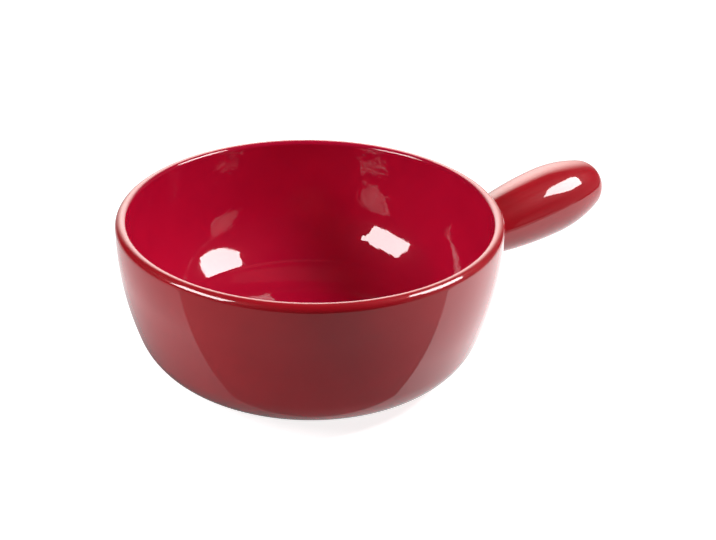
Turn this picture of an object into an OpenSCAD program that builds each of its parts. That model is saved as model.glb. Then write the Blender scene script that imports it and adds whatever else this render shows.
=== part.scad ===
// Fondue pot: a red-glazed stoneware bowl with one hollow, drop-shaped handle.
// +Z is up and +X runs along the handle. The origin is on the bowl's axis, in the plane it stands on.
// The sizes are those of the finished, glazed pot. The clay lies one glaze thickness below its surface.

/* [Bowl] */
// Outer diameter of the rim
rim_d = 240; // [200:1:280]
// Height from the table to the top of the rim
bowl_h = 100; // [85:1:120]
// Thickness of the wall, which is also the width of the round rim
wall_t = 7; // [5:0.5:10]
// Radius of the wall's bulge, seen from the side
wall_r = 200; // [150:1:400]
// Radius of the outer heel, where the wall turns under
heel_r = 38; // [28:1:46]
// Radius of the inner heel, where the wall turns into the floor
inner_heel_r = 60; // [45:1:62]
// Thickness of the floor
floor_t = 6; // [5:0.5:12]

/* [Foot] */
// Height of the bare foot ring below the glazed base
foot_h = 2.5; // [1.5:0.5:5]
// Width of the foot ring
foot_w = 6; // [4:0.5:12]
// Distance from the edge of the flat base in to the foot ring
foot_inset = 3; // [2:0.5:12]
// Bevel along both edges of the foot ring
foot_bevel = 0.8; // [0.4:0.1:1.2]

/* [Handle] */
// Upward tilt of the handle, in degrees
handle_tilt = 10; // [0:1:20]
// Depth below the rim at which the handle's axis meets the wall
handle_drop = 46; // [36:1:55]
// Length of the handle's axis from the wall to the tip
handle_l = 114; // [95:1:140]
// Diameter of the root, at the wall
root_d = 27; // [22:1:34]
// Diameter of the handle where it is fattest
grip_d = 46; // [40:1:54]
// Distance from the wall to the fattest place
grip_s = 70; // [50:1:75]
// Radius of the blunt tip
tip_r = 18; // [12:1:19]
// Thickness of the handle's hollow shell
handle_t = 5; // [3.5:0.5:7]
// Diameter of the vent hole under the handle
vent_d = 4; // [2:0.5:6]
// Distance from the wall to the vent hole
vent_s = 34; // [28:1:60]

/* [Glaze and slip] */
// Thickness of the glaze
glaze_t = 0.5; // [0.4:0.1:0.8]
// How far the slip ring spreads round the handle's root
luting_w = 5; // [3:0.5:7]

/* [Hidden] */
$fn = 256;
// Overlap that joins the stretches of a section into one
seam = 0.01;
clay_color = "#d8c7ab";
slip_color = "#cbb896";
glaze_color = "#9c0f20";

// Bowl: the wall arc stands upright at the rim's centre, and its centre is at that height
rim_r = rim_d / 2;
rim_z = bowl_h - wall_t / 2;
crest_r = rim_r - wall_t / 2;
wall_centre = [rim_r - wall_r, rim_z];
outer_heel = heel_centre(wall_r, heel_r, foot_h);
inner_heel = heel_centre(wall_r - wall_t, inner_heel_r, foot_h + floor_t);

// Foot ring
foot_r = outer_heel.x - foot_inset;
recess_r = foot_r - foot_w;

// Handle: a rear arc from the root to the fattest place, a front arc from there on, and a round tip
root_r = root_d / 2;
grip_r = grip_d / 2;
tip_s = handle_l - tip_r;
rear_arc_r = (grip_s ^ 2 + (grip_r - root_r) ^ 2) / (2 * (grip_r - root_r));
front_arc_r = ((tip_s - grip_s) ^ 2 + grip_r ^ 2 - tip_r ^ 2) / (2 * (grip_r - tip_r));
tip_rise = (tip_s - grip_s) / (front_arc_r - tip_r);
root_sink = root_r;

// Seat of the handle: the wall leans in below the rim, so the root's outline on it is an oval
// whose middle is a little above the handle's axis
handle_z = bowl_h - handle_drop;
handle_x = wall_centre.x + sqrt(wall_r ^ 2 - (rim_z - handle_z) ^ 2);
wall_lean = asin((rim_z - handle_z) / wall_r);
seat_lean = handle_tilt + wall_lean;
root_slope = grip_s / (rear_arc_r - grip_r + root_r);
seat_above = root_r / (cos(seat_lean) - root_slope * sin(seat_lean));
seat_below = root_r / (cos(seat_lean) + root_slope * sin(seat_lean));
seat_r = (seat_above + seat_below) / 2;
seat_shift = (seat_above - seat_below) / 2;

// Centre of a heel arc of radius r that rests on height z and runs smoothly into a wall arc of radius arc_r
function heel_centre(arc_r, r, z) = [
    wall_centre.x + sqrt((arc_r - r) ^ 2 - (rim_z - z - r) ^ 2),
    z + r
];

// Height at which the wall arc runs into the heel arc of radius r
function heel_top(centre, r) = centre.y + r * (centre.y - wall_centre.y) / norm(centre - wall_centre);

// Half-section of a filled bowl: wall arc, heel arc and flat bottom, up to the rim's centre
module bowl_section(arc_r, centre, r) {
    bottom = centre.y - r;
    top = heel_top(centre, r);
    intersection() {
        translate(wall_centre) circle(arc_r);
        translate([0, top]) square([rim_d, rim_z - top]);
    }
    intersection() {
        translate(centre) circle(r);
        translate([0, bottom - r]) square([rim_d, 2 * r]);
    }
    translate([0, bottom]) square([centre.x, r]);
}

// The outside of the bowl, drawn in by inset
module outside(inset) {
    bowl_section(wall_r - inset, outer_heel, heel_r - inset);
}

// The inside of the bowl, let out by outset
module inside(outset) {
    bowl_section(wall_r - wall_t + outset, inner_heel, inner_heel_r + outset);
}

// The round rim, drawn in by inset. Its lower half lies within the wall.
module rim_round(inset) {
    translate([crest_r, rim_z]) circle(wall_t / 2 - inset);
}

// Half-section of the whole bowl without its foot ring, drawn in by inset
module pot_section(inset) {
    difference() {
        outside(inset);
        inside(inset);
    }
    rim_round(inset);
}

// Half-section of the glaze, inside and out
module glaze_section() {
    difference() {
        pot_section(0);
        pot_section(glaze_t);
    }
}

// Everything on the inner side of a line within the wall and the floor, up over the rim's crest
module inner_side() {
    inside(min(wall_t, floor_t) / 2);
    translate([0, rim_z - wall_t]) square([crest_r, 2 * wall_t]);
}

module foot_section() {
    top = foot_h + glaze_t + seam;
    polygon([
        [recess_r, top], [recess_r, foot_bevel], [recess_r + foot_bevel, 0],
        [foot_r - foot_bevel, 0], [foot_r, foot_bevel], [foot_r, top]
    ]);
}

// The bowl as if it were solid, for cutting what is stuck on its outside
module bowl_solid(inset) {
    rotate_extrude() outside(inset);
}

// Puts +Z along the handle's axis, from the wall. Local +X points down.
module along_handle() {
    translate([handle_x, 0, handle_z]) rotate([0, 90 - handle_tilt, 0]) children();
}

// Puts +Z along the wall's normal at the handle. Local +X points down the wall.
module along_normal() {
    translate([handle_x, 0, handle_z]) rotate([0, 90 + wall_lean, 0]) children();
}

// One stretch of the handle's half-section: part of a disc between two places along the axis
module handle_stretch(centre, r, from, to) {
    intersection() {
        translate(centre) circle(r);
        translate([0, from]) square([grip_d, to - from]);
    }
}

// The handle as if it were solid, drawn in by inset and running on into the wall
module handle_solid(inset) {
    tip_start = tip_s + (tip_r - inset) * tip_rise;
    along_handle() rotate_extrude() {
        handle_stretch([grip_r - rear_arc_r, grip_s], rear_arc_r - inset, -root_sink, grip_s + seam);
        handle_stretch([grip_r - front_arc_r, grip_s], front_arc_r - inset, grip_s, tip_start);
        handle_stretch([0, tip_s], tip_r - inset, tip_s, handle_l + tip_r);
    }
}

// The slip round the handle's root: a cone that stands square on the wall and sinks into it and the handle
module luting_cone(outset) {
    spread = seat_r + outset * sqrt(2);
    along_normal() translate([-seat_shift, 0, -luting_w])
        cylinder(h = 3 * luting_w, r1 = spread + 2 * luting_w, r2 = spread - luting_w);
}

module vent_hole() {
    along_handle() translate([0, 0, vent_s]) rotate([0, 90, 0]) cylinder(h = grip_d, d = vent_d);
}

module bowl_body() {
    color(clay_color) rotate_extrude() {
        pot_section(glaze_t);
        foot_section();
    }
}

module inner_glaze() {
    color(glaze_color) rotate_extrude() intersection() {
        glaze_section();
        inner_side();
    }
}

module outer_glaze() {
    color(glaze_color) difference() {
        rotate_extrude() difference() {
            glaze_section();
            inner_side();
            square([foot_r, bowl_h]);
        }
        handle_solid(glaze_t);
        luting_cone(0);
    }
}

module base_glaze() {
    color(glaze_color) translate([0, 0, foot_h]) cylinder(h = glaze_t, r = recess_r);
}

module handle_body() {
    color(clay_color) difference() {
        handle_solid(glaze_t);
        handle_solid(handle_t);
        bowl_solid(glaze_t);
        vent_hole();
    }
}

module handle_luting() {
    color(slip_color) difference() {
        luting_cone(0);
        handle_solid(glaze_t);
        bowl_solid(glaze_t);
    }
}

module handle_glaze() {
    color(glaze_color) difference() {
        union() {
            handle_solid(0);
            luting_cone(glaze_t);
        }
        handle_solid(glaze_t);
        luting_cone(0);
        bowl_solid(0);
        vent_hole();
    }
}

bowl_body();
inner_glaze();
outer_glaze();
base_glaze();
handle_body();
handle_luting();
handle_glaze();
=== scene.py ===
# Fondue pot: a red-glazed stoneware bowl with a hollow, drop-shaped handle, in a plain white studio.
# Every mesh is in metres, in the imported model's frame: +Z is up, +X runs along the handle, and the
# origin is on the bowl's axis, in the plane it stands on.
import math

import bmesh
import bpy
from mathutils import Matrix, Vector


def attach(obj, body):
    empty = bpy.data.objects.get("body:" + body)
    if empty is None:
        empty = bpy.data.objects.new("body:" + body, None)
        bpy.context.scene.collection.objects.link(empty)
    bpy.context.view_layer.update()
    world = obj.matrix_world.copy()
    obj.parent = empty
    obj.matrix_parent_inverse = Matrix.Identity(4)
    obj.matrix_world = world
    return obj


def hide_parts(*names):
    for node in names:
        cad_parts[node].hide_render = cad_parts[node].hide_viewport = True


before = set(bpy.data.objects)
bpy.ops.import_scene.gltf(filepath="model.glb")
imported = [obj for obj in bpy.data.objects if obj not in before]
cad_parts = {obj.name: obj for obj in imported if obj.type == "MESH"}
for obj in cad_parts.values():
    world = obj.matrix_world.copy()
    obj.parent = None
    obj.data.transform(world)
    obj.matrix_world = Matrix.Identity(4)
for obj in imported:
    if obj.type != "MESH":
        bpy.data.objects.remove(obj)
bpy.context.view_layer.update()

# Bowl, as in the part's source
RIM_RADIUS = 0.120
BOWL_HEIGHT = 0.100
WALL = 0.007
WALL_ARC = 0.200
OUTER_HEEL = 0.038
INNER_HEEL = 0.060
FLOOR_THICKNESS = 0.006
FOOT_HEIGHT = 0.0025
FOOT_WIDTH = 0.006
FOOT_INSET = 0.003

# The rim's crest lies nearer the inside, so its outer round is the larger one
OUTER_ROUND = 0.0044
INNER_ROUND = WALL - OUTER_ROUND

# A low turning ring round the inside, on the heel: steep outwards, and fading slowly inwards
RING_RADIUS = 0.0884
RING_HEIGHT = 0.0002
RING_OUTER_WIDTH = 0.0014
RING_INNER_WIDTH = 0.010

# Handle, as in the part's source
HANDLE_TILT = math.radians(10)
HANDLE_DROP = 0.046
HANDLE_LENGTH = 0.114
ROOT_RADIUS = 0.0135
GRIP_RADIUS = 0.023
GRIP_PLACE = 0.070
TIP_RADIUS = 0.018
VENT_RADIUS = 0.002
VENT_PLACE = 0.034

# Fillet at the handle's root: the length of its legs, and how far its curve is drawn to the corner
ROOT_FILLET = 0.0125
FILLET_BOW = 0.47

# Glaze: the skin is a little thinner than the gap above the clay, so that the two never touch.
# In the foot ring's recess it is drawn up a little against the ring.
SKIN = 0.00045
MENISCUS = 0.0012

# Mesh steps
TURNS = 256
RIM_STEPS = 28
WALL_STEPS = 32
HEEL_STEPS = 100
FLAT_STEPS = 8
MERGE_DISTANCE = 0.00001
HANDLE_SIDES = 128
FILLET_STEPS = 14
REAR_STEPS = 40
FRONT_STEPS = 20
TIP_STEPS = 22
VENT_SIDES = 40
BASE_TURNS = TURNS // 2
MENISCUS_STEPS = 10
BASE_SHARES = (0.9, 0.75, 0.6, 0.45, 0.3, 0.15, 0.05)
SHARP_ANGLE = math.radians(35)

# The place where the handle's side meets the wall is looked for this far either way
ROOT_SEARCH = 0.02
ROOT_HALVINGS = 40

# Studio: the camera's turn about the pot, and the places of the panels
CAMERA_TURN = math.radians(-31.5)
BACKDROP_AWAY = 0.95
SIDE_WALL_ACROSS = 1.25
CEILING_HEIGHT = 1.6
CEILING_HALF_WIDTH = 1.0
CEILING_BACK = 0.42
CEILING_ARC = 1.36
CEILING_ARC_CENTRE = 1.1
CEILING_STEPS = 5
CARD_HEIGHT = 1.7
SHEET_HEIGHT = 0.001
SHEET_HALF_WIDTH = 1.2
SHEET_FRONT = -0.297
SHEET_BACK = -0.095
WHITE = (1, 1, 1, 1)

# Camera: where the photograph's outline puts it
CAMERA_PLACE = Vector((-0.55490, -0.90563, 0.60864))
CAMERA_AIM = Vector((0.03822, 0.00363, 0.05))
CAMERA_ROLL = math.radians(1.35)
CAMERA_LENS = 96.0
CAMERA_SENSOR = 36.0

# Sizes that follow from those above
UP = Vector((0, 0, 1))
pot_middle = UP * BOWL_HEIGHT / 2
crest_radius = RIM_RADIUS - OUTER_ROUND
rim_height = BOWL_HEIGHT - WALL / 2
wall_centre = (RIM_RADIUS - WALL_ARC, rim_height)


def heel_centre(arc, heel, bottom):
    """Radius and height of the centre of a heel arc on bottom that runs smoothly into the wall arc."""
    rise = rim_height - bottom - heel
    return wall_centre[0] + math.sqrt((arc - heel) ** 2 - rise ** 2), bottom + heel


outer_heel = heel_centre(WALL_ARC, OUTER_HEEL, FOOT_HEIGHT)
inner_heel = heel_centre(WALL_ARC - WALL, INNER_HEEL, FOOT_HEIGHT + FLOOR_THICKNESS)
foot_radius = outer_heel[0] - FOOT_INSET
recess_radius = foot_radius - FOOT_WIDTH

handle_height = BOWL_HEIGHT - HANDLE_DROP
handle_start = Vector((
    wall_centre[0] + math.sqrt(WALL_ARC ** 2 - (rim_height - handle_height) ** 2), 0, handle_height
))
handle_axis = Vector((math.cos(HANDLE_TILT), 0, math.sin(HANDLE_TILT)))
handle_down = Vector((math.sin(HANDLE_TILT), 0, -math.cos(HANDLE_TILT)))
handle_side = Vector((0, 1, 0))
tip_place = HANDLE_LENGTH - TIP_RADIUS
rear_swell = GRIP_RADIUS - ROOT_RADIUS
rear_arc = (GRIP_PLACE ** 2 + rear_swell ** 2) / (2 * rear_swell)
front_run = tip_place - GRIP_PLACE
front_arc = (front_run ** 2 + GRIP_RADIUS ** 2 - TIP_RADIUS ** 2) / (2 * (GRIP_RADIUS - TIP_RADIUS))
front_turn = math.asin(front_run / (front_arc - TIP_RADIUS))


def studio(x, y, z):
    """A point given with X to the camera's right and Y away from it, in the model's frame."""
    cosine, sine = math.cos(CAMERA_TURN), math.sin(CAMERA_TURN)
    return Vector((x * cosine - y * sine, x * sine + y * cosine, z))


RIGHT = studio(1, 0, 0)
AWAY = studio(0, 1, 0)


# Node helpers

def add_node(tree, kind, inputs=None, **settings):
    """A node of that kind, with its settings, and its inputs set to values or linked to sockets."""
    node = tree.nodes.new(kind)
    for name, value in settings.items():
        setattr(node, name, value)
    for key, value in (inputs or {}).items():
        if isinstance(value, bpy.types.NodeSocket):
            tree.links.new(value, node.inputs[key])
        else:
            node.inputs[key].default_value = value
    return node


def add_sockets(tree, direction, kind, *names):
    """Named sockets of one kind on a node group."""
    for name in names:
        tree.interface.new_socket(name=name, in_out=direction, socket_type="NodeSocket" + kind)


def math_node(tree, operation, first, second=0.0):
    """The result of an operation on one or two numbers."""
    return add_node(tree, "ShaderNodeMath", {0: first, 1: second}, operation=operation).outputs[0]


def product(tree, first, *others):
    """All the numbers, multiplied."""
    for other in others:
        first = math_node(tree, "MULTIPLY", first, other)
    return first


def vector_node(tree, operation, inputs):
    """The outputs of an operation on vectors."""
    return add_node(tree, "ShaderNodeVectorMath", inputs, operation=operation).outputs


def along(tree, place, direction):
    """How far a place lies along a direction."""
    return vector_node(tree, "DOT_PRODUCT", {0: place, 1: direction})["Value"]


def distance_from(tree, place, centre):
    """How far a place lies from a centre."""
    return vector_node(tree, "DISTANCE", {0: place, 1: centre})["Value"]


def fade(tree, value, start, end, first, last, interpolation="LINEAR"):
    """A number that runs from first to last while the value runs from start to end."""
    return add_node(tree, "ShaderNodeMapRange", {
        "Value": value, "From Min": start, "From Max": end, "To Min": first, "To Max": last,
    }, interpolation_type=interpolation).outputs["Result"]


def blend(tree, share, first, second):
    """A share of the second colour in the first."""
    return add_node(tree, "ShaderNodeMix", {
        "Factor": share, 6: first, 7: second,
    }, data_type="RGBA").outputs[2]


def noise(tree, place, scale, detail, roughness=0.5):
    """Soft noise, from 0 to 1."""
    return add_node(tree, "ShaderNodeTexNoise", {
        "Vector": place, "Scale": scale, "Detail": detail, "Roughness": roughness,
    }).outputs[0]


def object_place(tree):
    """The place on the object, in the model's frame."""
    return add_node(tree, "ShaderNodeTexCoord").outputs["Object"]


def link_object(name, data):
    made = bpy.data.objects.new(name, data)
    bpy.context.scene.collection.objects.link(made)
    return made


# Meshes

def bowl_profile(tree, given):
    """One side of the bowl's profile, from the flat to the crest of the rim, in the XY plane."""
    def arc(centre, radius, start, sweep, steps):
        curve = add_node(tree, "GeometryNodeCurveArc", {
            "Resolution": steps + 1, "Radius": radius, "Start Angle": start, "Sweep Angle": sweep,
        }, mode="RADIUS")
        return add_node(tree, "GeometryNodeTransform", {
            "Geometry": curve.outputs["Curve"], "Translation": centre,
        }).outputs["Geometry"]

    quarter = math.pi / 2
    rim_centre = add_node(tree, "ShaderNodeCombineXYZ", {
        "X": given["Crest radius"], "Y": given["Rim height"],
    }).outputs[0]
    rim = arc(rim_centre, given["Rim radius"], quarter, given["Rim turn"], RIM_STEPS)
    wall_end = product(tree, given["Wall turn"], -1.0)
    wall_sweep = math_node(tree, "SUBTRACT", wall_end, given["Wall start"])
    wall = arc(given["Wall centre"], given["Wall radius"], given["Wall start"], wall_sweep, WALL_STEPS)
    heel_sweep = math_node(tree, "SUBTRACT", given["Wall turn"], quarter)
    heel = arc(given["Heel centre"], given["Heel radius"], wall_end, heel_sweep, HEEL_STEPS)
    heel_drop = add_node(tree, "ShaderNodeCombineXYZ", {"Y": given["Heel radius"]}).outputs[0]
    heel_foot = vector_node(tree, "SUBTRACT", {0: given["Heel centre"], 1: heel_drop})[0]
    line = add_node(tree, "GeometryNodeCurvePrimitiveLine", {
        "Start": heel_foot, "End": given["Flat end"],
    })
    flat = add_node(tree, "GeometryNodeResampleCurve", {
        "Curve": line.outputs["Curve"], "Count": FLAT_STEPS + 1,
    }).outputs["Curve"]
    profile = add_node(tree, "GeometryNodeJoinGeometry")
    for stretch in (flat, heel, wall, rim):
        tree.links.new(stretch, profile.inputs["Geometry"])
    return profile.outputs["Geometry"]


def raise_ring(tree, given, mesh):
    """Lifts a low ring off a mesh, steep on its outer side and fading slowly towards the middle."""
    place = add_node(tree, "GeometryNodeInputPosition").outputs[0]
    level_place = vector_node(tree, "MULTIPLY", {0: place, 1: (1, 1, 0)})[0]
    radius = vector_node(tree, "LENGTH", {0: level_place})["Value"]
    off_ring = math_node(tree, "SUBTRACT", radius, given["Ring radius"])
    outwards = math_node(tree, "DIVIDE", off_ring, given["Ring outer width"])
    inwards = math_node(tree, "DIVIDE", product(tree, off_ring, -1.0), given["Ring inner width"])
    away = math_node(tree, "MAXIMUM", outwards, inwards)
    height = fade(tree, away, 0.0, 1.0, given["Ring height"], 0.0, "SMOOTHSTEP")
    normal = add_node(tree, "GeometryNodeInputNormal").outputs[0]
    lift = vector_node(tree, "SCALE", {0: normal, "Scale": height})[0]
    return add_node(tree, "GeometryNodeSetPosition", {
        "Geometry": mesh, "Offset": lift,
    }).outputs["Geometry"]


def bowl_coat_tree():
    """Geometry nodes that turn one side of the bowl's profile about Z and raise the low ring."""
    tree = bpy.data.node_groups.new("bowl_coat", "GeometryNodeTree")
    add_sockets(tree, "INPUT", "Geometry", "Geometry")
    add_sockets(tree, "INPUT", "Float", "Crest radius", "Rim height", "Rim radius", "Rim turn")
    add_sockets(tree, "INPUT", "Vector", "Wall centre", "Heel centre", "Flat end")
    add_sockets(tree, "INPUT", "Float", "Wall radius", "Wall start", "Wall turn", "Heel radius")
    add_sockets(tree, "INPUT", "Float", "Ring radius", "Ring height")
    add_sockets(tree, "INPUT", "Float", "Ring outer width", "Ring inner width")
    add_sockets(tree, "INPUT", "Int", "Turns")
    add_sockets(tree, "INPUT", "Bool", "Flip")
    add_sockets(tree, "INPUT", "Material", "Material")
    add_sockets(tree, "OUTPUT", "Geometry", "Geometry")
    given = add_node(tree, "NodeGroupInput").outputs

    # The sweep puts the profile's X outwards and its Y downwards, at the crest's circle
    back = product(tree, given["Crest radius"], -1.0)
    to_crest = add_node(tree, "ShaderNodeCombineXYZ", {"X": back}).outputs[0]
    placed = add_node(tree, "GeometryNodeTransform", {
        "Geometry": bowl_profile(tree, given), "Translation": to_crest, "Rotation": (math.pi, 0, 0),
    })
    crest = add_node(tree, "GeometryNodeCurvePrimitiveCircle", {
        "Resolution": given["Turns"], "Radius": given["Crest radius"],
    }, mode="RADIUS")
    swept = add_node(tree, "GeometryNodeCurveToMesh", {
        "Curve": crest.outputs["Curve"], "Profile Curve": placed.outputs["Geometry"],
    })
    merged = add_node(tree, "GeometryNodeMergeByDistance", {
        "Geometry": swept.outputs["Mesh"], "Distance": MERGE_DISTANCE,
    })
    flipped = add_node(tree, "GeometryNodeFlipFaces", {
        "Mesh": merged.outputs["Geometry"], "Selection": given["Flip"],
    })
    ringed = raise_ring(tree, given, flipped.outputs["Mesh"])
    smooth = add_node(tree, "GeometryNodeSetShadeSmooth", {"Geometry": ringed})
    real = add_node(tree, "GeometryNodeRealizeInstances", {"Geometry": smooth.outputs["Geometry"]})
    coated = add_node(tree, "GeometryNodeSetMaterial", {
        "Geometry": real.outputs["Geometry"], "Material": given["Material"],
    })
    add_node(tree, "NodeGroupOutput", {"Geometry": coated.outputs["Geometry"]})
    return tree


def thicken(piece):
    """Makes a surface a closed skin that grows behind its faces."""
    skin = piece.modifiers.new("skin", "SOLIDIFY")
    skin.thickness = SKIN
    skin.offset = -1
    skin.use_even_offset = True


def finish_mesh(piece):
    """Turns a piece and its modifiers into a plain mesh, smooth but for its sharp edges."""
    evaluated = piece.evaluated_get(bpy.context.evaluated_depsgraph_get())
    mesh = bpy.data.meshes.new_from_object(evaluated)
    piece.modifiers.clear()
    piece.data = mesh
    mesh.name = piece.name
    mesh.shade_smooth()
    mesh.set_sharp_from_angle(angle=SHARP_ANGLE)
    return piece


def bowl_coat(name, tree, material, sizes):
    """One side of the bowl's glaze, from the crest of the rim to its flat."""
    piece = link_object(name, bpy.data.meshes.new(name))
    modifier = piece.modifiers.new("lathe", "NODES")
    modifier.node_group = tree
    values = {
        **sizes, "Material": material, "Turns": TURNS, "Crest radius": crest_radius,
        "Wall centre": (*wall_centre, 0.0), "Ring radius": RING_RADIUS,
        "Ring outer width": RING_OUTER_WIDTH, "Ring inner width": RING_INNER_WIDTH,
    }
    for item in tree.interface.items_tree:
        if item.in_out == "INPUT" and item.name in values:
            modifier[item.identifier] = values[item.name]
    thicken(piece)
    return finish_mesh(piece)


def surface_from_rings(name, rings, pole, material):
    """A surface through closed rings of points, from its open edge to a pole."""
    mesh = bmesh.new()
    rows = [[mesh.verts.new(point) for point in ring] for ring in rings]
    for row, following in zip(rows, rows[1:]):
        for i in range(len(row)):
            mesh.faces.new((row[i - 1], row[i], following[i], following[i - 1]))
    top = mesh.verts.new(pole)
    for i in range(len(rows[-1])):
        mesh.faces.new((rows[-1][i - 1], rows[-1][i], top))
    made = bpy.data.meshes.new(name)
    mesh.to_mesh(made)
    mesh.free()
    made.materials.append(material)
    return link_object(name, made)


def rear_radius(place):
    """Radius of the handle's rear stretch, at a place along its axis."""
    return GRIP_RADIUS - rear_arc + math.sqrt(rear_arc ** 2 - (place - GRIP_PLACE) ** 2)


def wall_gap(point):
    """Distance of a point from the bowl's outer wall, above zero outside it."""
    out = math.hypot(point.x, point.y) - wall_centre[0]
    return math.hypot(out, point.z - wall_centre[1]) - WALL_ARC


def wall_normal(point):
    """Outward normal of the bowl's outer wall nearest a point."""
    radius = math.hypot(point.x, point.y)
    out = radius - wall_centre[0]
    return Vector((out * point.x / radius, out * point.y / radius, point.z - wall_centre[1])).normalized()


def handle_column(spoke):
    """Points of the handle's glaze along one spoke: the fillet, the swelling grip and the round tip."""
    def on_handle(place, radius):
        return handle_start + handle_axis * place + spoke * radius

    def on_rear(place):
        return on_handle(place, rear_radius(place))

    low, high = -ROOT_SEARCH, ROOT_SEARCH
    for _ in range(ROOT_HALVINGS):
        middle = (low + high) / 2
        if wall_gap(on_rear(middle)) > 0:
            high = middle
        else:
            low = middle
    corner = on_rear(high)
    normal = wall_normal(corner)
    along_wall = (spoke - normal * spoke.dot(normal)).normalized()
    edge = corner + along_wall * ROOT_FILLET
    edge -= wall_normal(edge) * wall_gap(edge)
    fillet_end = high + ROOT_FILLET
    shoulder = on_rear(fillet_end)
    first = edge.lerp(corner, FILLET_BOW)
    second = shoulder.lerp(corner, FILLET_BOW)

    # The edge itself is sunk into the bowl's glaze by half a skin
    column = [edge - wall_normal(edge) * SKIN * 0.5]
    for step in range(1, FILLET_STEPS + 1):
        t = step / FILLET_STEPS
        column.append(
            edge * (1 - t) ** 3 + first * 3 * t * (1 - t) ** 2
            + second * 3 * t ** 2 * (1 - t) + shoulder * t ** 3
        )
    for step in range(1, REAR_STEPS + 1):
        column.append(on_rear(fillet_end + (GRIP_PLACE - fillet_end) * step / REAR_STEPS))
    for step in range(1, FRONT_STEPS + 1):
        turn = front_turn * step / FRONT_STEPS
        radius = GRIP_RADIUS - front_arc + front_arc * math.cos(turn)
        column.append(on_handle(GRIP_PLACE + front_arc * math.sin(turn), radius))
    for step in range(1, TIP_STEPS):
        turn = front_turn + (math.pi / 2 - front_turn) * step / TIP_STEPS
        column.append(on_handle(tip_place + TIP_RADIUS * math.sin(turn), TIP_RADIUS * math.cos(turn)))
    return column


def handle_coat(name, material):
    """The glaze over the handle and its root, with the vent hole underneath."""
    columns = []
    for i in range(HANDLE_SIDES):
        angle = 2 * math.pi * i / HANDLE_SIDES
        columns.append(handle_column(handle_down * math.cos(angle) + handle_side * math.sin(angle)))
    rings = [list(ring) for ring in zip(*columns)]
    tip = handle_start + handle_axis * HANDLE_LENGTH
    piece = surface_from_rings(name, rings, tip, material)
    thicken(piece)

    place = handle_start + handle_axis * VENT_PLACE + handle_down * GRIP_RADIUS
    turn = handle_down.to_track_quat("Z", "Y").to_matrix().to_4x4()
    cutter_mesh = bmesh.new()
    bmesh.ops.create_cone(
        cutter_mesh, cap_ends=True, segments=VENT_SIDES, radius1=VENT_RADIUS, radius2=VENT_RADIUS,
        depth=GRIP_RADIUS, matrix=Matrix.Translation(place) @ turn,
    )
    cutter_data = bpy.data.meshes.new("vent_cutter")
    cutter_mesh.to_mesh(cutter_data)
    cutter_mesh.free()
    cutter = link_object("vent_cutter", cutter_data)
    vent = piece.modifiers.new("vent", "BOOLEAN")
    vent.object = cutter
    vent.operation = "DIFFERENCE"
    vent.solver = "EXACT"
    finish_mesh(piece)
    bpy.data.objects.remove(cutter)
    bpy.data.meshes.remove(cutter_data)
    return piece


def base_coat(name, material):
    """The glaze in the foot ring's recess, drawn up a little against the ring."""
    edge = recess_radius - SKIN
    profile = []
    for step in range(MENISCUS_STEPS + 1):
        turn = math.pi / 2 * step / MENISCUS_STEPS
        profile.append((
            edge - MENISCUS * (1 - math.cos(turn)), FOOT_HEIGHT - MENISCUS * (1 - math.sin(turn)),
        ))
    for share in BASE_SHARES:
        profile.append((edge * share, FOOT_HEIGHT))
    rings = []
    for radius, height in profile:
        ring = []
        for i in range(BASE_TURNS):
            angle = -2 * math.pi * i / BASE_TURNS
            ring.append(Vector((radius * math.cos(angle), radius * math.sin(angle), height)))
        rings.append(ring)
    piece = surface_from_rings(name, rings, UP * FOOT_HEIGHT, material)
    thicken(piece)
    return finish_mesh(piece)


# Materials of the pot

def linear(red, green, blue):
    """A colour as the eye names it, from 0 to 255, in the renderer's linear values."""
    def channel(value):
        share = value / 255
        return share / 12.92 if share <= 0.04045 else ((share + 0.055) / 1.055) ** 2.4
    return channel(red), channel(green), channel(blue), 1.0


def new_material(name):
    material = bpy.data.materials.new(name)
    material.use_nodes = True
    material.node_tree.nodes.clear()
    return material, material.node_tree


def set_surface(tree, shader):
    add_node(tree, "ShaderNodeOutputMaterial", {"Surface": shader.outputs[0]})


def add_skin(tree, group, values):
    """A skin group with its values, and the normal that its height gives."""
    skin = add_node(tree, "ShaderNodeGroup", values, node_tree=group).outputs
    bump = add_node(tree, "ShaderNodeBump", {
        "Strength": 1.0, "Distance": 1.0, "Height": skin["Height"],
    })
    return skin, bump.outputs["Normal"]


def glaze_skin_group():
    """How the glaze varies: depth of colour, gloss, and the slow waves and fine peel of its surface."""
    tree = bpy.data.node_groups.new("glaze_skin", "ShaderNodeTree")
    add_sockets(tree, "INPUT", "Color", "Thin colour", "Thick colour")
    add_sockets(tree, "INPUT", "Float", "Wave scale", "Wave height", "Peel height")
    add_sockets(tree, "INPUT", "Float", "Least roughness", "Most roughness")
    add_sockets(tree, "OUTPUT", "Color", "Colour")
    add_sockets(tree, "OUTPUT", "Float", "Roughness", "Height")
    given = add_node(tree, "NodeGroupInput").outputs
    place = object_place(tree)
    depth = fade(tree, noise(tree, place, 24.0, 3.0), 0.3, 0.7, 0.0, 1.0)
    colour = blend(tree, depth, given["Thin colour"], given["Thick colour"])
    haze = noise(tree, place, 60.0, 2.0)
    gloss = fade(tree, haze, 0.3, 0.7, given["Least roughness"], given["Most roughness"])
    waves = product(tree, noise(tree, place, given["Wave scale"], 3.0, 0.62), given["Wave height"])
    peel = product(tree, noise(tree, place, 420.0, 1.0), given["Peel height"])
    height = math_node(tree, "ADD", waves, peel)
    add_node(tree, "NodeGroupOutput", {"Colour": colour, "Roughness": gloss, "Height": height})
    return tree


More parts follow.
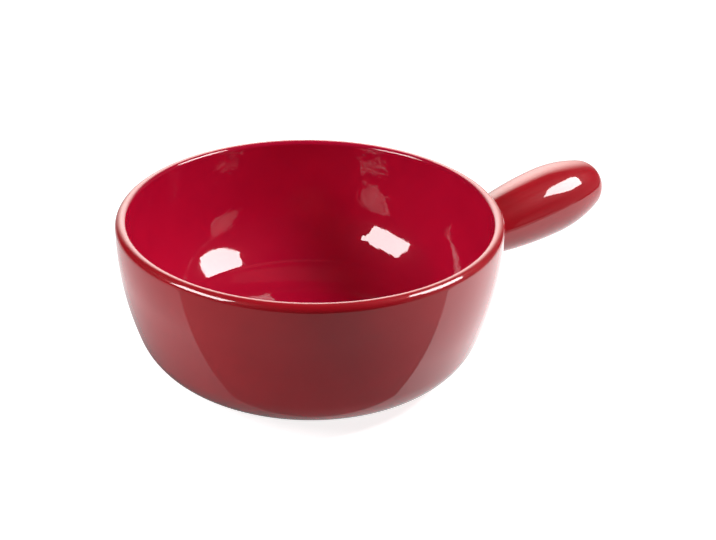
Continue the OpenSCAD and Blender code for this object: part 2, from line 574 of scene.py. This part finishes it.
def glaze_material(name, group, thin, thick, wave_scale, wave_height, haze):
    """Glossy red glaze with a faint haze, with the shared skin's values for one surface."""
    material, tree = new_material(name)
    skin, normal = add_skin(tree, group, {
        "Thin colour": thin, "Thick colour": thick, "Wave scale": wave_scale, "Wave height": wave_height,
        "Peel height": 0.000002, "Least roughness": 0.03, "Most roughness": 0.06,
    })
    set_surface(tree, add_node(tree, "ShaderNodeBsdfPrincipled", {
        "Base Color": skin["Colour"], "Roughness": skin["Roughness"], "IOR": 1.5,
        "Normal": normal, "Coat Weight": haze, "Coat Roughness": 0.45,
    }))
    return material


def clay_speckle_group():
    """Bare fired clay: soft clouds of colour, dark iron specks and a sandy grain."""
    tree = bpy.data.node_groups.new("clay_speckle", "ShaderNodeTree")
    add_sockets(tree, "INPUT", "Color", "Light colour", "Dark colour", "Speck colour")
    add_sockets(tree, "INPUT", "Float", "Speck share", "Grain height")
    add_sockets(tree, "OUTPUT", "Color", "Colour")
    add_sockets(tree, "OUTPUT", "Float", "Height")
    given = add_node(tree, "NodeGroupInput").outputs
    place = object_place(tree)
    body = blend(tree, noise(tree, place, 90.0, 4.0), given["Light colour"], given["Dark colour"])
    cells = add_node(tree, "ShaderNodeTexVoronoi", {"Vector": place, "Scale": 700.0})
    speck = math_node(tree, "LESS_THAN", cells.outputs["Distance"], given["Speck share"])
    colour = blend(tree, speck, body, given["Speck colour"])
    height = product(tree, noise(tree, place, 2200.0, 2.0), given["Grain height"])
    add_node(tree, "NodeGroupOutput", {"Colour": colour, "Height": height})
    return tree


def clay_material(name, group, light, dark, speck_share, grain_height):
    """Matt bare clay or slip."""
    material, tree = new_material(name)
    skin, normal = add_skin(tree, group, {
        "Light colour": light, "Dark colour": dark, "Speck colour": linear(96, 70, 50),
        "Speck share": speck_share, "Grain height": grain_height,
    })
    set_surface(tree, add_node(tree, "ShaderNodeBsdfPrincipled", {
        "Base Color": skin["Colour"], "Roughness": 0.85, "Normal": normal,
    }))
    return material


glaze_skin = glaze_skin_group()
clay_speckle = clay_speckle_group()
# The inside glaze is lighter than the outside one: partly its own colour, partly painted light that
# brightens the inside.
inner_glaze = glaze_material(
    "red_glaze_inside", glaze_skin, thin=linear(197, 16, 56), thick=linear(187, 12, 52),
    wave_scale=45.0, wave_height=0.00022, haze=0.02,
)
outer_glaze = glaze_material(
    "red_glaze_outside", glaze_skin, thin=linear(185, 14, 32), thick=linear(175, 9, 28),
    wave_scale=30.0, wave_height=0.00004, haze=0.17,
)
stoneware = clay_material(
    "bare_stoneware", clay_speckle, light=linear(226, 211, 186), dark=linear(205, 186, 155),
    speck_share=0.16, grain_height=0.00006,
)
slip = clay_material(
    "joining_slip", clay_speckle, light=linear(214, 198, 170), dark=linear(193, 172, 140),
    speck_share=0.08, grain_height=0.00003,
)


# Pieces

def side_of_bowl(rim_round, wall_radius, heel, heel_radius, flat_end):
    """The sizes of one side of the bowl's profile, as the lathe takes them."""
    round_height = BOWL_HEIGHT - rim_round
    return {
        "Rim height": round_height, "Rim radius": rim_round, "Wall radius": wall_radius,
        "Wall start": math.asin((round_height - wall_centre[1]) / wall_radius),
        "Wall turn": math.atan2(wall_centre[1] - heel[1], heel[0] - wall_centre[0]),
        "Heel centre": (*heel, 0.0), "Heel radius": heel_radius,
        "Flat end": (flat_end, heel[1] - heel_radius, 0.0),
    }


coat = bowl_coat_tree()
inside = bowl_coat("inner_glaze_coat", coat, inner_glaze, {
    **side_of_bowl(INNER_ROUND, WALL_ARC - WALL, inner_heel, INNER_HEEL, 0.0),
    "Rim turn": math.pi / 2, "Flip": True, "Ring height": RING_HEIGHT,
})
outside = bowl_coat("outer_glaze_coat", coat, outer_glaze, {
    **side_of_bowl(OUTER_ROUND, WALL_ARC, outer_heel, OUTER_HEEL, foot_radius),
    "Rim turn": -math.pi / 2, "Flip": False, "Ring height": 0.0,
})
handle = handle_coat("handle_glaze_coat", outer_glaze)
base = base_coat("base_glaze_coat", outer_glaze)

glazed = (
    (inside, "inner_glaze"), (outside, "outer_glaze"), (handle, "handle_glaze"), (base, "base_glaze"),
)
for piece, node in glazed:
    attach(piece, "root")
    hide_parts(node)

for node, material in (("bowl_body", stoneware), ("handle_body", stoneware), ("handle_luting", slip)):
    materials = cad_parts[node].data.materials
    materials.clear()
    materials.append(material)


# Materials of the studio

def glow_material(name, strength, colour=WHITE):
    """A glow for a panel. A strength that varies is a function of the nodes and the place."""
    material, tree = new_material(name)
    if callable(strength):
        strength = strength(tree, object_place(tree))
    set_surface(tree, add_node(tree, "ShaderNodeEmission", {"Color": colour, "Strength": strength}))
    return material


def by_reflection(tree, first, second):
    """One number up to the first reflection, and another in a reflection of a reflection."""
    bounces = add_node(tree, "ShaderNodeLightPath").outputs["Ray Depth"]
    return fade(tree, bounces, 1.0, 2.0, first, second)


def painted_second_reflection_glow(strength):
    """A painted reflection: a glow that shows only in a reflection of a reflection."""
    def glow(tree, place):
        return by_reflection(tree, 0.0, strength)
    return glow


def backdrop_glow(tree, place):
    """Brightest behind the pot, falling off to all sides, and painted dim in a reflection of a reflection.
    """
    off_middle = math_node(tree, "SUBTRACT", along(tree, place, RIGHT), -0.05)
    aside = math_node(tree, "ABSOLUTE", off_middle)
    across = fade(tree, aside, 0.1, 0.95, 5.8, 0.25, "SMOOTHSTEP")
    height = along(tree, place, UP)
    foot = fade(tree, height, 0.0, 0.55, 0.15, 1.0)
    top = fade(tree, height, 0.9, 1.5, 1.0, 0.02)
    return product(tree, across, foot, top, by_reflection(tree, 1.0, 0.2))


def side_wall_glow(tree, place):
    """Grey, fading out towards the top."""
    return fade(tree, along(tree, place, UP), 0.0, 0.6, 0.4, 0.0)


def ceiling_glow(tree, place):
    """Dim, fading out towards the left."""
    return fade(tree, along(tree, place, RIGHT), -0.45, 0.45, 0.03, 0.17)


def front_sheet_glow(tree, place):
    """Grey, with painted light a little brighter to the right and a painted shade of the pot close to it.
    """
    painted_side_light = fade(tree, along(tree, place, RIGHT), 0.0, 0.25, 0.53, 0.86)
    painted_shade = fade(tree, distance_from(tree, place, (0, 0, 0)), 0.09, 0.2, 0.5, 1.0)
    return product(tree, painted_side_light, painted_shade)


def floor_material(name):
    """Pale floor: white to the camera with a painted shade close to the pot, and in reflections a painted
    glow, brighter to the right and dimmer behind, with a painted shadow of the pot.
    """
    material, tree = new_material(name)
    path = add_node(tree, "ShaderNodeLightPath").outputs
    place = object_place(tree)
    from_pot = distance_from(tree, place, studio(-0.025, 0, 0))
    # Painted light: in reflections the floor glows brighter to the right and dimmer further behind.
    painted_side_light = fade(tree, along(tree, place, RIGHT), -0.35, 0.35, 0.9, 2.2)
    behind = fade(tree, along(tree, place, AWAY), 0.0, 0.4, 1.0, 0.7)
    # Painted shadow of the pot in the reflected glow; the diffuse part keeps the real shadow.
    painted_shade = fade(tree, from_pot, 0.08, 0.16, 0.15, 1.0)
    in_gloss = product(tree, path["Is Glossy Ray"], painted_side_light, behind, painted_shade)
    # Painted shade: to the camera the floor is a little darker close to the pot.
    seen_with_painted_shade = fade(tree, from_pot, 0.1, 0.4, 0.85, 1.0)
    to_camera = product(tree, path["Is Camera Ray"], seen_with_painted_shade)
    strength = math_node(tree, "ADD", to_camera, in_gloss)
    light = add_node(tree, "ShaderNodeEmission", {"Color": WHITE, "Strength": strength})
    pale = add_node(tree, "ShaderNodeBsdfDiffuse", {"Color": (0.62, 0.62, 0.62, 1)})
    lit = add_node(tree, "ShaderNodeMixShader", {0: path["Is Glossy Ray"], 1: pale.outputs[0]})
    set_surface(tree, add_node(tree, "ShaderNodeAddShader", {0: light.outputs[0], 1: lit.outputs[0]}))
    return material


# Studio

def studio_direction(azimuth, elevation):
    """A direction from the pot, in degrees: azimuth 0 is towards the camera, and 90 is to its right."""
    turn = math.radians(azimuth)
    rise = math.radians(elevation)
    return studio(math.sin(turn) * math.cos(rise), -math.cos(turn) * math.cos(rise), math.sin(rise))


def flat_corners(height, *corners):
    """Corners at one height, as places to the camera's right and away from it."""
    return [studio(x, y, height) for x, y in corners]


def stage_mesh(name, corners, material):
    mesh = bpy.data.meshes.new(name)
    mesh.from_pydata(corners, [], [tuple(range(len(corners)))])
    mesh.materials.append(material)
    return link_object(name, mesh)


def panel(name, corners, material):
    """A flat stage panel that only reflections see."""
    made = stage_mesh(name, corners, material)
    made.visible_camera = False
    made.visible_diffuse = False
    made.visible_shadow = False


def softbox(name, distance, strength, directions):
    """A flat softbox, with its corners given as directions from the pot."""
    corners = [studio_direction(*corner) * distance + pot_middle for corner in directions]
    panel(name, corners, glow_material(name + "_white", strength))


def soft_lamp(name, azimuth, elevation, distance, size, power):
    """A large lamp that lights the pot without a highlight of its own."""
    lamp = bpy.data.lights.new(name, "AREA")
    lamp.shape = "DISK"
    lamp.size = size
    lamp.energy = power
    made = link_object(name, lamp)
    direction = studio_direction(azimuth, elevation)
    made.location = direction * distance + pot_middle
    made.rotation_euler = (-direction).to_track_quat("-Z", "Y").to_euler()
    made.visible_glossy = False


floor_corners = flat_corners(0, (-0.8, -0.8), (0.68, -0.8), (0.68, 0.9), (-0.8, 0.9))
floor = stage_mesh("floor", floor_corners, floor_material("pale_floor"))

softbox("left_softbox", 0.9, 19.0, [(-46, 17), (-80, 20), (-81, 40), (-43, 38.5)])
softbox("right_softbox", 1.25, 20.0, [
    (71, 34), (66, 45), (79, 56), (87, 58), (110, 46), (110, 41), (95, 26), (80, 28),
])

panel("backdrop", [
    studio(-1.1, BACKDROP_AWAY, -0.1), studio(1.1, BACKDROP_AWAY, -0.1),
    studio(1.1, BACKDROP_AWAY, 1.75), studio(-1.1, BACKDROP_AWAY, 1.75),
], glow_material("white_backdrop", backdrop_glow, (1, 0.98, 0.91, 1)))
panel("side_wall", [
    studio(SIDE_WALL_ACROSS, -1.1, 0), studio(SIDE_WALL_ACROSS, 1.0, 0),
    studio(SIDE_WALL_ACROSS, 1.0, 0.6), studio(SIDE_WALL_ACROSS, -1.1, 0.6),
], glow_material("side_wall_grey", side_wall_glow))

# The ceiling's front edge is an arc, and its back edge is straight
ceiling_edge = []
for step in range(-CEILING_STEPS, CEILING_STEPS + 1):
    across = CEILING_HALF_WIDTH * step / CEILING_STEPS
    ceiling_edge.append((across, CEILING_ARC_CENTRE - math.sqrt(CEILING_ARC ** 2 - across ** 2)))
panel("ceiling", flat_corners(
    CEILING_HEIGHT, *ceiling_edge, (CEILING_HALF_WIDTH, CEILING_BACK), (-CEILING_HALF_WIDTH, CEILING_BACK),
), glow_material("ceiling_grey", ceiling_glow))
# Painted reflections: two cards high above that glow only in reflections of reflections, for faint
# reflections inside the bowl.
panel("high_right_card", flat_corners(
    CARD_HEIGHT, (0.40, -0.39), (0.46, -0.86), (0.71, -0.77), (0.72, -0.13),
), glow_material("high_right_painted_reflection", painted_second_reflection_glow(24.0)))
panel("high_left_card", flat_corners(
    CARD_HEIGHT, (-0.29, -1.42), (-0.42, -0.78), (-0.61, -0.70), (-0.45, -1.34),
), glow_material("high_left_painted_reflection", painted_second_reflection_glow(16.0)))
# A grey panel over the floor in front of the pot, seen only in reflections, where the floor reflects
# darker.
panel("front_sheet", flat_corners(
    SHEET_HEIGHT, (-SHEET_HALF_WIDTH, SHEET_FRONT), (SHEET_HALF_WIDTH, SHEET_FRONT),
    (SHEET_HALF_WIDTH, SHEET_BACK), (0, SHEET_BACK), (-SHEET_HALF_WIDTH, -0.21),
), glow_material("front_sheet_grey", front_sheet_glow))
panel("front_ground", flat_corners(
    SHEET_HEIGHT, (-SHEET_HALF_WIDTH, -1.2), (SHEET_HALF_WIDTH, -1.2),
    (SHEET_HALF_WIDTH, SHEET_FRONT), (-SHEET_HALF_WIDTH, SHEET_FRONT),
), glow_material("front_ground_dark", 0.03))

soft_lamp("left_lamp", -75, 28, distance=1.6, size=0.7, power=15.0)
soft_lamp("right_lamp", 90, 44, distance=1.6, size=0.4, power=20.5)
soft_lamp("back_lamp", 180, 20, distance=1.8, size=1.0, power=13.0)

# The room is white to the camera, and nearly dark otherwise
world = bpy.data.worlds.new("studio")
bpy.context.scene.world = world
world.use_nodes = True
room = world.node_tree
room.nodes.clear()
to_camera = add_node(room, "ShaderNodeLightPath").outputs["Is Camera Ray"]
background = add_node(room, "ShaderNodeBackground", {
    "Color": WHITE, "Strength": fade(room, to_camera, 0.0, 1.0, 0.02, 1.0),
})
add_node(room, "ShaderNodeOutputWorld", {"Surface": background.outputs[0]})
bpy.context.scene.view_settings.view_transform = "Standard"

camera_data = bpy.data.cameras.new("camera")
camera_data.lens = CAMERA_LENS
camera_data.sensor_width = CAMERA_SENSOR
camera = link_object("camera", camera_data)
ahead = (CAMERA_AIM - CAMERA_PLACE).normalized()
level_side = ahead.cross(UP).normalized()
level_up = level_side.cross(ahead)
camera_side = level_side * math.cos(CAMERA_ROLL) + level_up * math.sin(CAMERA_ROLL)
camera_up = level_up * math.cos(CAMERA_ROLL) - level_side * math.sin(CAMERA_ROLL)
turned = Matrix((camera_side, camera_up, -ahead)).transposed().to_4x4()
camera.matrix_world = Matrix.Translation(CAMERA_PLACE) @ turned
bpy.context.scene.camera = camera
